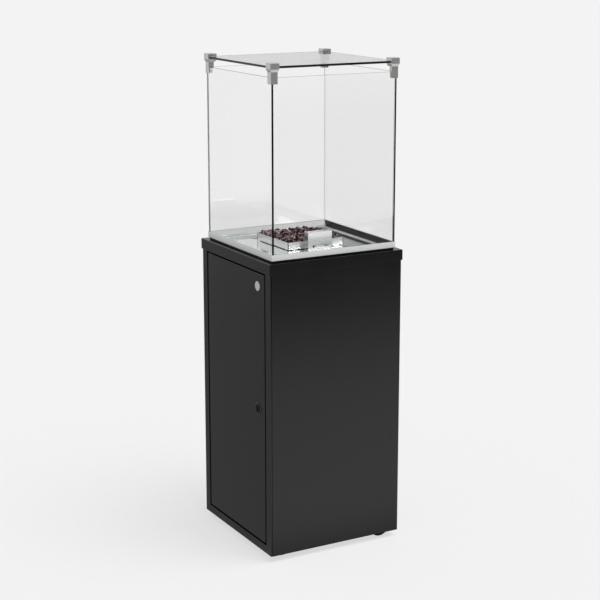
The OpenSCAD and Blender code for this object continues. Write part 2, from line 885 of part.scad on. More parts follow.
// Lava stones heaped in the trough, in layers of a jittered grid, clear of the tubes
module lava_rocks() {
    reach = trough_in - past;
    edge = reach - stone_d / 2;
    color(stone_red) difference() {
        intersection() {
            for (layer = lava_layers, i = [0 : layer[1] - 1], j = [0 : layer[1] - 1]) {
                seed = layer[2] + 10 * (i * layer[1] + j);
                jitter = rands(-2.2, 2.2, 3, seed);
                step = 2 * edge / (layer[1] - 1);
                translate([i * step - edge, j * step - edge, layer[0]] + jitter) stone(seed);
            }
            box([-reach, -reach, trough_bed + slip], [reach, reach, trough_z1 + stone_d]);
        }
        burner_bars(slip, $fn = 16);
    }
}

module igniter_cover() {
    t = tray_sheet;
    w = cover_w / 2;
    color(stainless) difference() {
        box([cover_x0, -w, z_floor], [cover_x1, w, z_floor + cover_h]);
        box([cover_x0 - past, -w + t, z_floor - past], [cover_x1 - t, w - t, z_floor + cover_h - t]);
        for (s = [-1, 1])
            rod_x(s * cover_hole_gap / 2, z_floor + cover_hole_up, cover_hole_d / 2,
                cover_x1 - 2 * t, cover_x1 + past);
    }
}

module pilot_bracket() {
    half_x = 6.5;
    color(zinc) translate([0, 0, z_floor]) linear_extrude(pilot_foot) difference() {
        translate([pilot_x - half_x, -bracket_half]) square([2 * half_x, 2 * bracket_half]);
        pilot_holes_2d(turn_fit);
    }
}

module pilot_burner() {
    top = z_floor + cover_h - 18;
    color(brass) difference() {
        union() {
            rod_z(pilot_x, 0, pilot_body_r, z_floor - fitting_drop, top);
            hex_z(pilot_x, 0, 6, z_floor + pilot_foot, z_floor + 9);
            rod_z(pilot_x, 0, pilot_body_r + 1.2, top - 8, top);
        }
        rod_z(pilot_x, 0, 2.5, top - 10, top + past);
        rod_x(0, top - 4, 2, pilot_x, pilot_x + 10);
    }
}

module igniter_electrode() {
    color("white") {
        rod_z(pilot_x, pilot_gap, electrode_r, z_floor - fitting_drop, z_floor + 22);
        rod_z(pilot_x, pilot_gap, electrode_r + 1.5, z_floor + pilot_foot, z_floor + 5);
        rod_z(pilot_x, pilot_gap, 0.8, z_floor + 22, z_floor + cover_h - 14);
    }
}

module thermocouple() {
    color(copper) {
        rod_z(pilot_x, -pilot_gap, thermocouple_r, z_floor - fitting_drop, z_floor + 26);
        hex_z(pilot_x, -pilot_gap, 5, z_floor + pilot_foot, z_floor + 7);
        rod_z(pilot_x, -pilot_gap, 1.7, z_floor + 26, z_floor + cover_h - 12);
    }
}

// Gas train below the tray

module heat_shield() {
    color(zinc) {
        ring(shield_hw, shield_hw - shield_t, shield_z, z_under);
        ring(shield_hw + shield_lip, shield_hw - shield_t, z_under - shield_t, z_under);
        translate([0, 0, shield_z]) linear_extrude(shield_t) difference() {
            square(2 * shield_hw - shield_t, center = true);
            circle(r = mix_r + slip);
            translate([pilot_x, 0])
                square([2 * lead_window, 2 * (pilot_gap + lead_window_end)], center = true);
            for (row = [0 : shield_rows - 1])
                translate([-shield_slot_x, (row - (shield_rows - 1) / 2) * shield_pitch])
                    slot_2d(shield_slot_l, shield_slot_w);
        }
    }
}

module mixing_tube() {
    color(zinc) difference() {
        rod_z(0, 0, mix_r, mix_z0, trough_bed);
        rod_z(0, 0, mix_r - mix_wall, mix_z0 - past, trough_bed + past);
        for (turn = [0, 90])
            rotate([0, 0, turn]) rod_x(0, mix_z0 + 12, 4, -2 * mix_r, 2 * mix_r);
    }
}

module gas_injector() {
    color(brass) {
        rod_z(0, 0, mix_r + 2, mix_z0 - 4, mix_z0);
        translate([0, 0, mix_z0]) cylinder(r1 = 6, r2 = 3, h = 7);
        hex_z(0, 0, 9, injector_z0, mix_z0 - 4);
    }
}

module gas_pipe() {
    run_z = control_z;
    color(copper) pipe([[valve_x, valve_back + outlet_l, run_z], [valve_x, 0, run_z], [0, 0, run_z],
        [0, 0, injector_z0]], pipe_d / 2, 1.6 * pipe_d);
}

module pilot_pipe() {
    run_z = control_z + valve_h;
    x0 = valve_x + port_in;
    x1 = pilot_x + pilot_pipe_side;
    y0 = valve_back - port_in;
    color(copper) pipe([[x0, y0, control_z + valve_h / 2], [x0, y0, run_z], [x1, y0, run_z],
        [x1, 0, run_z], [pilot_x, 0, run_z], [pilot_x, 0, z_floor - fitting_drop]],
        pilot_pipe_d / 2, lead_bend);
}

module thermocouple_lead() {
    run_z = control_z + valve_h + lead_drop;
    x0 = valve_x - port_in;
    y0 = valve_back - valve_d / 2;
    color(copper) pipe([[x0, y0, control_z + valve_h / 2], [x0, y0, run_z], [pilot_x, y0, run_z],
        [pilot_x, -pilot_gap, run_z], [pilot_x, -pilot_gap, z_floor - fitting_drop]],
        lead_d / 2, lead_bend);
}

module ignition_lead() {
    run_z = control_z + valve_h;
    tail = cp_y + sheet + piezo_l;
    y0 = tail + lead_loop;
    x1 = pilot_x + lead_side;
    color(plastic) pipe([[piezo_x, tail, control_z], [piezo_x, y0, control_z], [x1, y0, control_z],
        [x1, y0, run_z], [x1, pilot_gap, run_z], [pilot_x, pilot_gap, run_z],
        [pilot_x, pilot_gap, z_floor - fitting_drop]], lead_d / 2, lead_bend);
}

// Controls behind the door

module control_panel() {
    back = cp_y + sheet;
    color(black_coat) difference() {
        union() {
            box([-inner, cp_y, cp_z0], [inner, back, cp_z1]);
            both_x() box([inner - sheet, cp_y, cp_z0], [inner, cp_y + flange_w, cp_z1]);
            box([-inner, cp_y, cp_z1 - sheet], [inner, cp_y + panel_top_lip, cp_z1]);
            box([-inner, cp_y, cp_z0], [inner, cp_y + panel_low_lip, cp_z0 + sheet]);
        }
        rod_y(valve_x, control_z, boss_r + turn_fit, cp_y - past, back + past);
        rod_y(piezo_x, control_z, piezo_r + turn_fit, cp_y - past, back + past);
    }
}

module gas_valve() {
    front = cp_y + sheet;
    color(brass) difference() {
        union() {
            box([valve_x - valve_w / 2, front, control_z - valve_h / 2],
                [valve_x + valve_w / 2, valve_back, control_z + valve_h / 2]);
            rod_y(valve_x, control_z, boss_r, cp_y - boss_l, front);
            rod_y(valve_x, control_z, outlet_r, valve_back, valve_back + outlet_l);
        }
        rod_y(valve_x, control_z, spindle_d / 2 + turn_fit, cp_y - boss_l - past, front + 25 + slip);
    }
}

module gas_inlet() {
    top = control_z - valve_h / 2;
    color(brass) translate([valve_x, cp_y + sheet + valve_d / 2, 0]) {
        hex_z(0, 0, inlet_d / 2 + 4, top - 6, top);
        rod_z(0, 0, inlet_d / 2, top - 6 - inlet_l, top - 6);
    }
}

module valve_spindle() {
    r = spindle_d / 2;
    color(zinc) difference() {
        rod_y(valve_x, control_z, r, spindle_tip, cp_y + sheet + 25);
        box([valve_x - r - past, spindle_tip - past, control_z + r - spindle_flat],
            [valve_x + r + past, cp_y - boss_l, control_z + r + past]);
    }
}

module control_knob() {
    r = spindle_d / 2 + turn_fit;
    flutes = 12;
    grip_r = knob_d / 2 - 3;
    skirt_l = 4;
    bore_y0 = knob_front + knob_face_t;
    color(plastic) difference() {
        translate([valve_x, knob_rear, control_z]) rotate([90, 0, 0]) rotate_extrude()
            polygon([[0, 0], [knob_d / 2, 0], [knob_d / 2, skirt_l - 1], [knob_d / 2 - 1, skirt_l],
                [grip_r, skirt_l], [grip_r, knob_l - 1.5], [grip_r - 1.5, knob_l], [0, knob_l]]);
        rod_y(valve_x, control_z, boss_r + 2, knob_rear - knob_cavity, knob_rear + past);
        rod_y(valve_x, control_z, r, bore_y0, knob_rear);
        for (i = [0 : flutes - 1])
            translate([valve_x, 0, control_z]) rotate([0, 360 * (i + 0.5) / flutes, 0])
                rod_y(grip_r + 1, 0, 2.6, knob_front - past, knob_rear - skirt_l);
        box([valve_x - 0.8, knob_front - past, control_z + knob_d * 0.18],
            [valve_x + 0.8, knob_front + 0.8, control_z + knob_d / 2]);
    }
}

module piezo_body() {
    back = cp_y + sheet + piezo_l;
    color(plastic) difference() {
        union() {
            rod_y(piezo_x, control_z, bezel_r, cp_y - bezel_t, cp_y);
            rod_y(piezo_x, control_z, piezo_r, cp_y, back);
            translate([piezo_x, cp_y + sheet, control_z]) rotate([-90, 0, 0])
                cylinder(r = bezel_r + 2, h = 5, $fn = 6);
        }
        rod_y(piezo_x, control_z, button_d / 2 + button_play, cp_y - bezel_t - past,
            cp_y + button_in + button_travel + past);
    }
}

module piezo_button() {
    r = button_d / 2;
    l = button_in + bezel_t + button_travel + past;
    color("#8c1d1d") translate([piezo_x, cp_y + button_in, control_z]) rotate([90, 0, 0]) rotate_extrude()
        polygon([[0, 0], [r, 0], [r, l - 1.5], [r - 1.5, l], [0, l]]);
}

// Feet and wheels

module foot_pads() {
    color(rubber) both_x() translate([foot_xy, -foot_xy, 0]) rotate_extrude()
        polygon([[0, 0], [foot_d / 2 - 1, 0], [foot_d / 2, 1], [foot_d / 2, 3], [foot_nut_r, foot_pad_h],
            [0, foot_pad_h]]);
}

module foot_studs() {
    color(zinc) both_x() {
        rod_z(foot_xy, -foot_xy, foot_stud_r, foot_pad_h, base_z1 + foot_nut_h + 2);
        hex_z(foot_xy, -foot_xy, foot_nut_r, base_z0 - foot_nut_h, base_z0);
        hex_z(foot_xy, -foot_xy, foot_nut_r, base_z1, base_z1 + foot_nut_h);
    }
}

module wheel_brackets() {
    y0 = wheel_y - bracket_half_y;
    y1 = wheel_y + bracket_half_y;
    color(black_coat) both_x() difference() {
        box([bracket_x0, y0, base_z1], [bracket_x1, y1, bracket_z1]);
        box([bracket_x0 + bracket_t, y0 - past, base_z1 - past],
            [bracket_x1 - bracket_t, y1 + past, bracket_z1 - bracket_t]);
        rod_x(wheel_y, wheel_r, axle_d / 2 + turn_fit, bracket_x0 - past, bracket_x1 + past);
    }
}

module wheel_axles() {
    head_r = min(axle_d * 0.8, wheel_r - base_z1 - 1);
    color(zinc) both_x() {
        rod_x(wheel_y, wheel_r, axle_d / 2, bracket_x0 - 5, bracket_x1 + 3);
        rod_x(wheel_y, wheel_r, head_r, bracket_x1, bracket_x1 + 4);
        rod_x(wheel_y, wheel_r, head_r, bracket_x0 - 4, bracket_x0);
    }
}

module wheel_hub() {
    mid = (wheel_x0 + wheel_x1) / 2;
    half = wheel_w / 2;
    boss = (bracket_x1 - bracket_x0) / 2 - bracket_t - slip;
    bore = axle_d / 2 + turn_fit;
    boss_out = bore + hub_boss_wall;
    rim_in = hub_r - hub_rim_wall;
    translate([mid, wheel_y, wheel_r]) rotate([0, 90, 0]) difference() {
        rotate_extrude() polygon([[bore, -boss], [boss_out, -boss], [boss_out, -hub_web], [rim_in, -hub_web],
            [rim_in, -half + 1], [hub_r, -half + 1], [hub_r, half - 1], [rim_in, half - 1],
            [rim_in, hub_web], [boss_out, hub_web], [boss_out, boss], [bore, boss]]);
        for (i = [0 : hub_holes - 1]) rotate([0, 0, 360 * i / hub_holes])
            translate([(hub_r + bore + 1) / 2, 0, -hub_web - past])
                cylinder(r = 2.2, h = 2 * (hub_web + past));
    }
}

module wheel_tyre() {
    mid = (wheel_x0 + wheel_x1) / 2;
    half = wheel_w / 2;
    c = 3;
    rim = hub_r + turn_fit;
    translate([mid, wheel_y, wheel_r]) rotate([0, 90, 0]) rotate_extrude()
        polygon([[rim, -half], [wheel_r - c, -half], [wheel_r - 0.8, -half + c / 2 - 0.3],
            [wheel_r, -half + c], [wheel_r, half - c], [wheel_r - 0.8, half - c / 2 + 0.3],
            [wheel_r - c, half], [rim, half]]);
}

module right_wheel_hub() color("#6d6e70") wheel_hub();
module left_wheel_hub() color("#6d6e70") mirror([1, 0, 0]) wheel_hub();
module right_wheel_tyre() color(rubber) wheel_tyre();
module left_wheel_tyre() color(rubber) mirror([1, 0, 0]) wheel_tyre();

base_plate();
left_side_panel();
right_side_panel();
back_panel();
front_frame();
top_cap();
door_panel();
door_badge();
door_pivots();
door_bushes();
lock_housing();
lock_nut();
lock_core();
lock_cam();
tray_plinth();
burner_tray();
retainer_strips();
retainer_corners();
glass_seats();
front_glass();
rear_glass();
left_glass();
right_glass();
top_glass();
front_left_clamp();
front_right_clamp();
rear_left_clamp();
rear_right_clamp();
clamp_screws();
burner_trough();
burner_tube();
lava_rocks();
igniter_cover();
pilot_bracket();
pilot_burner();
igniter_electrode();
thermocouple();
heat_shield();
mixing_tube();
gas_injector();
gas_pipe();
pilot_pipe();
thermocouple_lead();
ignition_lead();
control_panel();
gas_valve();
gas_inlet();
valve_spindle();
control_knob();
piezo_body();
piezo_button();
foot_pads();
foot_studs();
wheel_brackets();
wheel_axles();
left_wheel_hub();
left_wheel_tyre();
right_wheel_hub();
right_wheel_tyre();
cabinet_screws();
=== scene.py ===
import math
import random

import bmesh
import bpy
from mathutils import Euler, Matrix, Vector, noise


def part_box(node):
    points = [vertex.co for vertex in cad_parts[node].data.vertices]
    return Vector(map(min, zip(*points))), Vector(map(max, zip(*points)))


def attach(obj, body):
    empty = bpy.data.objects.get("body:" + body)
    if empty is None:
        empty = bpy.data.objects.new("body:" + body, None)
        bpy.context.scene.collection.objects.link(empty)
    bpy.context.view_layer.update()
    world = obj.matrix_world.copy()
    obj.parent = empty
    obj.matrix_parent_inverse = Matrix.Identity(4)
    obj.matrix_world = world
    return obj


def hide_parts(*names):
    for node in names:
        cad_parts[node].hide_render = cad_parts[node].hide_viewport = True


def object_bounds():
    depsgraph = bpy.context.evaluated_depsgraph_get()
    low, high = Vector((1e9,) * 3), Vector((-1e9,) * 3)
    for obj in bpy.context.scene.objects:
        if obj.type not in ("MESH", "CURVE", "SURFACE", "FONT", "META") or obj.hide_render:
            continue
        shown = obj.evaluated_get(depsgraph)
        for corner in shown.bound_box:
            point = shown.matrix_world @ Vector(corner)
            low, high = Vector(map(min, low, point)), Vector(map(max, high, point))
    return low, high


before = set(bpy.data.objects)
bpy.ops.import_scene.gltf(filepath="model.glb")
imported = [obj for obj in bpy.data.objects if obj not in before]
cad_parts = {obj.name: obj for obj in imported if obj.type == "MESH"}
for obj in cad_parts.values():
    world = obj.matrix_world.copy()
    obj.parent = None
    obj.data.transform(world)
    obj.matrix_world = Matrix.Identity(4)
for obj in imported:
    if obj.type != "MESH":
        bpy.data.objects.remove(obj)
cad_box = [list(corner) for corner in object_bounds()]
scene = bpy.context.scene


# Cabinet
# A box of folded 1.5 mm steel sheet: base, two sides, back, front frame and a cap with a down-turned
# skirt. The sheets are bent on a press brake, screwed and welded, then powder coated black.

MM = 0.001
PEEL = 1.6 * MM                # orange peel of the coat, at about its real size
CLOUD = 90 * MM                # faint clouds in its gloss
SHARP = math.radians(28)       # an edge that turns further than this is rounded
FLAT = math.radians(0.5)       # faces that meet at less than this are one flat
SAME_POINT = 0.001 * MM


def linear(code):
    """An sRGB hex value as a linear colour with alpha."""
    channels = [int(code[i:i + 2], 16) / 255 for i in (1, 3, 5)]
    return (*[c / 12.92 if c <= 0.04045 else ((c + 0.055) / 1.055) ** 2.4 for c in channels], 1.0)


def add(tree, kind, values=None, links=None, **settings):
    """Adds a shader node with its settings, the values of its sockets and the links into them."""
    made = tree.nodes.new(kind)
    for name, value in settings.items():
        setattr(made, name, value)
    for socket, value in (values or {}).items():
        made.inputs[socket].default_value = value
    for socket, source in (links or {}).items():
        tree.links.new(source, made.inputs[socket])
    return made


def start_material(name, values):
    """A new material with its Principled shader set, and the place on the object that patterns read."""
    material = bpy.data.materials.new(name)
    material.use_nodes = True
    tree = material.node_tree
    shader = tree.nodes["Principled BSDF"]
    for socket, value in values.items():
        shader.inputs[socket].default_value = value
    place = add(tree, "ShaderNodeTexCoord").outputs["Object"]
    return material, tree, shader, place


def dress(material, *names):
    """Gives CAD pieces their finish."""
    for name in names:
        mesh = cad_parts[name].data
        mesh.materials.clear()
        mesh.materials.append(material)


MIX_A, MIX_B, MIX_RESULT = 6, 7, 2   # the colour sockets of a Mix node
FOLDED = (("top_cap", 0.9), ("front_frame", 0.5), ("left_side_panel", 0.5), ("right_side_panel", 0.5))


def powder_coat(name, dark, light, roughness):
    """Powder-coated steel: a satin film with fine orange peel and faintly uneven gloss."""
    material, tree, shader, place = start_material(name, {"Specular IOR Level": 0.5})
    film = add(tree, "ShaderNodeTexNoise", {"Scale": 1 / CLOUD, "Detail": 3.0}, {"Vector": place})
    tone = add(tree, "ShaderNodeMix", {MIX_A: linear(dark), MIX_B: linear(light)},
               {"Factor": film.outputs["Fac"]}, data_type="RGBA")
    gloss = add(tree, "ShaderNodeMapRange", {"To Min": roughness - 0.04, "To Max": roughness + 0.05},
                {"Value": film.outputs["Fac"]})
    skin = add(tree, "ShaderNodeTexNoise", {"Scale": 1 / PEEL, "Detail": 2.0}, {"Vector": place})
    bump = add(tree, "ShaderNodeBump", {"Strength": 0.05, "Distance": 0.4 * MM},
               {"Height": skin.outputs["Fac"]})
    tree.links.new(tone.outputs[MIX_RESULT], shader.inputs["Base Color"])
    tree.links.new(gloss.outputs["Result"], shader.inputs["Roughness"])
    tree.links.new(bump.outputs["Normal"], shader.inputs["Normal"])
    return material


def softened(name, body, material, width):
    """A copy of a folded or machined piece with its sharp edges rounded, which stands for the CAD piece."""
    shape = bmesh.new()
    shape.from_mesh(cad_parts[name].data)
    bmesh.ops.remove_doubles(shape, verts=shape.verts, dist=SAME_POINT)
    bmesh.ops.dissolve_limit(shape, angle_limit=FLAT, verts=shape.verts, edges=shape.edges)
    folds = [e for e in shape.edges if e.is_manifold and e.calc_face_angle() > SHARP]
    bmesh.ops.bevel(shape, geom=folds, offset=width, segments=2, profile=0.5, affect="EDGES",
                    clamp_overlap=True, material=-1)
    for face in shape.faces:
        face.smooth = False
        face.material_index = 0
    finished_piece(shape, name + "_piece", body, [material], replaces=name)


def finished_piece(shape, name, body, materials, replaces=None):
    """Turns a bmesh into an object that rides on a body."""
    mesh = bpy.data.meshes.new(name)
    shape.to_mesh(mesh)
    shape.free()
    for material in materials:
        mesh.materials.append(material)
    piece = bpy.data.objects.new(name, mesh)
    scene.collection.objects.link(piece)
    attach(piece, body)
    if replaces:
        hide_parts(replaces)


# Satin black, so that the right side mirrors the room faintly.
black_coat = powder_coat("powder_coated_steel", "#0b0b0c", "#101011", 0.22)
dress(black_coat, "base_plate", "back_panel", "control_panel", "wheel_brackets")
for part, fold in FOLDED:   # the width of a fold is in mm
    softened(part, "cabinet", black_coat, fold * MM)


# Door
# A folded steel pan on two pivot pins, coated like the cabinet, with a plain nickel disc near its top
# corner. Its quarter-turn lock has a dark grey lacquered body, a black core and a zinc-plated cam, which
# swings behind the frame.

def plated_metal(name, colour, roughness, grain, depth, metallic=1.0):
    """Plated or turned metal with a faint grain of the given size; a satin one scatters some of its light."""
    material, tree, shader, place = start_material(name, {"Base Color": linear(colour), "Metallic": metallic})
    grit = add(tree, "ShaderNodeTexNoise", {"Scale": 1 / grain, "Detail": 4.0}, {"Vector": place})
    gloss = add(tree, "ShaderNodeMapRange", {"To Min": roughness - 0.06, "To Max": roughness + 0.08},
                {"Value": grit.outputs["Fac"]})
    bump = add(tree, "ShaderNodeBump", {"Strength": depth, "Distance": 0.2 * MM},
               {"Height": grit.outputs["Fac"]})
    tree.links.new(gloss.outputs["Result"], shader.inputs["Roughness"])
    tree.links.new(bump.outputs["Normal"], shader.inputs["Normal"])
    return material


MOTTLE = 20 * MM               # faint clouds in the colour of a moulding


def moulded(name, colour, roughness, grain, depth):
    """Moulded plastic, rubber or lacquer with a fine texture of the given size and faintly uneven colour."""
    material, tree, shader, place = start_material(name, {"Roughness": roughness, "Specular IOR Level": 0.25})
    cloud = add(tree, "ShaderNodeTexNoise", {"Scale": 1 / MOTTLE, "Detail": 3.0}, {"Vector": place})
    shade = add(tree, "ShaderNodeMapRange", {"To Min": 0.85, "To Max": 1.12}, {"Value": cloud.outputs["Fac"]})
    tone = add(tree, "ShaderNodeVectorMath", {0: linear(colour)[:3]}, {"Scale": shade.outputs["Result"]},
               operation="SCALE")
    skin = add(tree, "ShaderNodeTexNoise", {"Scale": 1 / grain, "Detail": 2.0}, {"Vector": place})
    bump = add(tree, "ShaderNodeBump", {"Strength": depth, "Distance": 0.3 * MM},
               {"Height": skin.outputs["Fac"]})
    tree.links.new(tone.outputs["Vector"], shader.inputs["Base Color"])
    tree.links.new(bump.outputs["Normal"], shader.inputs["Normal"])
    return material


softened("door_panel", "door", black_coat, 0.5 * MM)
# Nickel on a blasted disc, which stays pale from every side.
matt_nickel = plated_metal("matt_nickel_plate", "#e8e8e6", 0.36, 0.6 * MM, 0.1, metallic=0.6)
softened("door_badge", "door", matt_nickel, 0.2 * MM)
# Oiled black oxide, dull and nearly black.
blackened_steel = plated_metal("blackened_steel", "#2b2b2c", 0.45, 0.7 * MM, 0.1)
dress(blackened_steel, "door_pivots")
# Clear passivated zinc, bluish grey and half bright.
zinc = plated_metal("bright_zinc_plate", "#a9abad", 0.30, 0.7 * MM, 0.1)
dress(zinc, "lock_nut", "lock_cam")
# Spark-eroded moulding, which takes most of the shine away.
black_plastic = moulded("moulded_black_plastic", "#0c0c0d", 0.42, 0.6 * MM, 0.15)
dress(black_plastic, "door_bushes")
# The lock's ring is a shade paler than its core, so that the two can be told apart.
lock_grey = moulded("die_cast_lock_lacquer", "#343436", 0.40, 0.5 * MM, 0.08)
lock_black = moulded("lock_core_black", "#030303", 0.5, 0.5 * MM, 0.05)
dress(lock_grey, "lock_housing")
dress(lock_black, "lock_core")


# Burner tray
# A pressed tray of satin stainless sheet on a black spacer, with polished sloping retainers that hold
# the foot of the panes. The trough and the folded cover are brushed and welded, and slots beside the
# trough let air up to the flame.

STAINLESS = "#f4f6f6"
BRUSH_LENGTH = 60 * MM
BRUSH_LINE = 1.2 * MM          # width of a brushed line, drawn coarse enough to show
FACING_X, FACING_UP = 0.6, 0.8   # least share of a face's normal for a wall that faces X, and for a floor
FLOOR_GLOSS = 0.10             # roughness of a flat floor, as it came from the mill


def brushed_stainless(name, wall, metallic):
    """Brushed stainless sheet: fine lines scatter light along each wall, and its flat floors shine."""
    material, tree, shader, place = start_material(name, {"Base Color": linear(STAINLESS)})
    normal = add(tree, "ShaderNodeSeparateXYZ",
                 links={"Vector": add(tree, "ShaderNodeTexCoord").outputs["Normal"]})
    faces = {}
    for axis, least in (("X", FACING_X), ("Z", FACING_UP)):
        turned = add(tree, "ShaderNodeMath", links={0: normal.outputs[axis]}, operation="ABSOLUTE")
        faces[axis] = add(tree, "ShaderNodeMath", {1: least}, {0: turned.outputs["Value"]},
                          operation="GREATER_THAN").outputs["Value"]
    along, across = 1 / BRUSH_LENGTH, 1 / BRUSH_LINE
    lines = []
    for scale in ((along, across, across), (across, along, across)):
        stretch = add(tree, "ShaderNodeMapping", {"Scale": scale}, {"Vector": place})
        lines.append(add(tree, "ShaderNodeTexNoise", {"Scale": 1.0, "Detail": 3.0},
                         {"Vector": stretch.outputs["Vector"]}).outputs["Fac"])
    grain = add(tree, "ShaderNodeMix", links={"Factor": faces["X"], "A": lines[0], "B": lines[1]})
    finish = add(tree, "ShaderNodeMix", {"A": wall, "B": FLOOR_GLOSS}, {"Factor": faces["Z"]})
    bright = add(tree, "ShaderNodeMix", {"A": metallic, "B": 1.0}, {"Factor": faces["Z"]})
    spread = add(tree, "ShaderNodeMapRange", {"To Min": -0.05, "To Max": 0.05},
                 {"Value": grain.outputs["Result"]})
    gloss = add(tree, "ShaderNodeMath", links={0: finish.outputs["Result"], 1: spread.outputs["Result"]})
    depth = add(tree, "ShaderNodeMapRange",
                {"From Min": FLOOR_GLOSS, "From Max": wall, "To Min": 0.02, "To Max": 0.12},
                {"Value": finish.outputs["Result"]})
    bump = add(tree, "ShaderNodeBump", {"Distance": 0.2 * MM},
               {"Height": grain.outputs["Result"], "Strength": depth.outputs["Result"]})
    tree.links.new(bright.outputs["Result"], shader.inputs["Metallic"])
    tree.links.new(gloss.outputs["Value"], shader.inputs["Roughness"])
    tree.links.new(bump.outputs["Normal"], shader.inputs["Normal"])
    return material


SEAM = 1.1 * MM                # radius of a weld seam
SEAM_SHORT = 3 * MM            # how much shorter it is than the wall
SEAM_SUNK = 0.6                # how far it sits inside the corner, as a share of its radius


def weld_seams(material):
    """Dark bars in each corner where the trough's folded walls meet, drawn as weld seams; their near black is
    painted corner shade.
    """
    low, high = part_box("burner_trough")
    height = high.z - low.z - SEAM_SHORT
    shape = bmesh.new()
    for x in (low.x, high.x):
        for y in (low.y, high.y):
            bar = bmesh.ops.create_cone(shape, cap_ends=True, segments=12, radius1=SEAM, radius2=SEAM,
                                        depth=height)
            inward = Vector((math.copysign(SEAM_SUNK * SEAM, -x), math.copysign(SEAM_SUNK * SEAM, -y), 0))
            middle = Vector((x, y, (low.z + high.z) / 2))
            bmesh.ops.translate(shape, vec=middle + inward, verts=bar["verts"])
    finished_piece(shape, "trough_seams", "cabinet", [material])


# Matt black, so the tray seems to float over the cap.
spacer_black = powder_coat("matt_black_steel", "#0b0b0c", "#101011", 0.6)
dress(spacer_black, "tray_plinth")
# The tray's walls and rim have a satin finish that scatters light widely: pale grey from every side.
satin_stainless = brushed_stainless("satin_stainless_sheet", 0.36, 0.15)
dress(satin_stainless, "burner_tray")
# Brushed bright on the trough and the cover, which mirror the room softly.
stainless = brushed_stainless("brushed_stainless_sheet", 0.20, 0.88)
dress(stainless, "burner_trough", "igniter_cover")
# Polished strips, with clear reflections of the tray and the room.
polished_stainless = plated_metal("polished_stainless_sheet", "#dfe2e1", 0.16, 1.5 * MM, 0.02)
dress(polished_stainless, "retainer_strips", "retainer_corners")
# The seams are nearly black as painted shade in the trough's corners.
weld_seams(plated_metal("dark_weld_painted_corner_shade", "#3a3838", 0.5, 0.8 * MM, 0.3))


# Glass box
# Four panes of 5 mm tempered glass and a 6 mm lid, with ground and polished edges, which look dark green
# because one sees along the pane. Silicone pads carry the panes.

WAVE = 300 * MM                # faint waves of float glass
ARRIS = 0.3 * MM
FLAT_SIDE = 0.9                # least share of a face's normal across the pane for its two flat sides


def clear_glass(name, colour, roughness):
    """Clear glass that lets lamps shine through it instead of casting a black shadow."""
    material, tree, shader, place = start_material(
        name, {"Base Color": linear(colour), "Transmission Weight": 1.0, "IOR": 1.46})
    wave = add(tree, "ShaderNodeTexNoise", {"Scale": 1 / WAVE, "Detail": 1.0}, {"Vector": place})
    gloss = add(tree, "ShaderNodeMapRange", {"To Min": roughness, "To Max": roughness + 0.004},
                {"Value": wave.outputs["Fac"]})
    tree.links.new(gloss.outputs["Result"], shader.inputs["Roughness"])
    rays = add(tree, "ShaderNodeLightPath")
    passing = add(tree, "ShaderNodeBsdfTransparent", {"Color": linear("#f6f8f7")})
    skips = add(tree, "ShaderNodeMath",
                links={0: rays.outputs["Is Shadow Ray"], 1: rays.outputs["Is Diffuse Ray"]},
                operation="MAXIMUM")
    both = add(tree, "ShaderNodeMixShader", links={0: skips.outputs["Value"], 1: shader.outputs["BSDF"],
                                                   2: passing.outputs["BSDF"]})
    tree.links.new(both.outputs["Shader"], tree.nodes["Material Output"].inputs["Surface"])
    return material


# Clear faces, dark green-grey polished edges, and the thicker lid's edge, which is nearly black.
pane_face = clear_glass("tempered_float_glass", "#fdfdfd", 0.0)
pane_edge = clear_glass("polished_glass_edge", "#36423f", 0.12)
lid_edge = clear_glass("polished_lid_edge", "#1a211f", 0.12)


def pane(name, edge):
    """A pane with a small polished arris on every edge; its narrow sides take the darker edge glass."""
    low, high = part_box(name)
    size = high - low
    shape = bmesh.new()
    bmesh.ops.create_cube(shape, size=1.0)
    bmesh.ops.scale(shape, vec=size, verts=shape.verts)
    bmesh.ops.translate(shape, vec=(low + high) / 2, verts=shape.verts)
    thin = min(range(3), key=lambda axis: size[axis])
    bmesh.ops.bevel(shape, geom=shape.edges[:], offset=ARRIS, segments=1, profile=0.5, affect="EDGES",
                    material=-1)
    bmesh.ops.recalc_face_normals(shape, faces=shape.faces)
    for face in shape.faces:
        face.material_index = 0 if abs(face.normal[thin]) > FLAT_SIDE else 1
    finished_piece(shape, name + "_pane", "cabinet", [pane_face, edge], replaces=name)


for part in ("front_glass", "rear_glass", "left_glass", "right_glass"):
    pane(part, pane_edge)
pane("top_glass", lid_edge)
# Soft black rubber without a shine.
black_silicone = moulded("black_silicone_rubber", "#1a1a1b", 0.55, 1.0 * MM, 0.1)
dress(black_silicone, "glass_seats", "foot_pads")


# Corner clamps
# Four tapered blocks, milled and satin nickel plated, which grip two panes and hold the lid above them.
# Two grub screws with a hexagon socket in each press on the panes.

# Warm pale grey with broad highlights.
satin_nickel = plated_metal("satin_nickel_plate", "#d8d8d6", 0.30, 0.9 * MM, 0.08, metallic=0.8)
for part in ("front_left_clamp", "front_right_clamp", "rear_left_clamp", "rear_right_clamp"):
    softened(part, "cabinet", satin_nickel, 0.5 * MM)
dress(blackened_steel, "clamp_screws")


# Lava bed
# Broken porous lava stone, dark purple red, heaped in the trough over the burner tubes up to a little
# above its rim. Every stone is a separate lump with pits and chipped corners.

PATCH = 7 * MM                 # patches of the stone's own colour, painted highlight and painted shade
PORE = 2.2 * MM
LAVA_TONES_AND_PAINTED_LIGHT = ((0.42, "#140c0e"), (0.5, "#3f272d"), (0.61, "#cfb0b4"))   # painted shade, the stone's own colour, painted highlight
LUMPS, CHIPS, PITS = (0.34, 2.2), (0.2, 5.5), (0.09, 13)   # how deep and how fine, against its size
SQUEEZE = (0.75, 1.2)          # least and most stretch of a stone


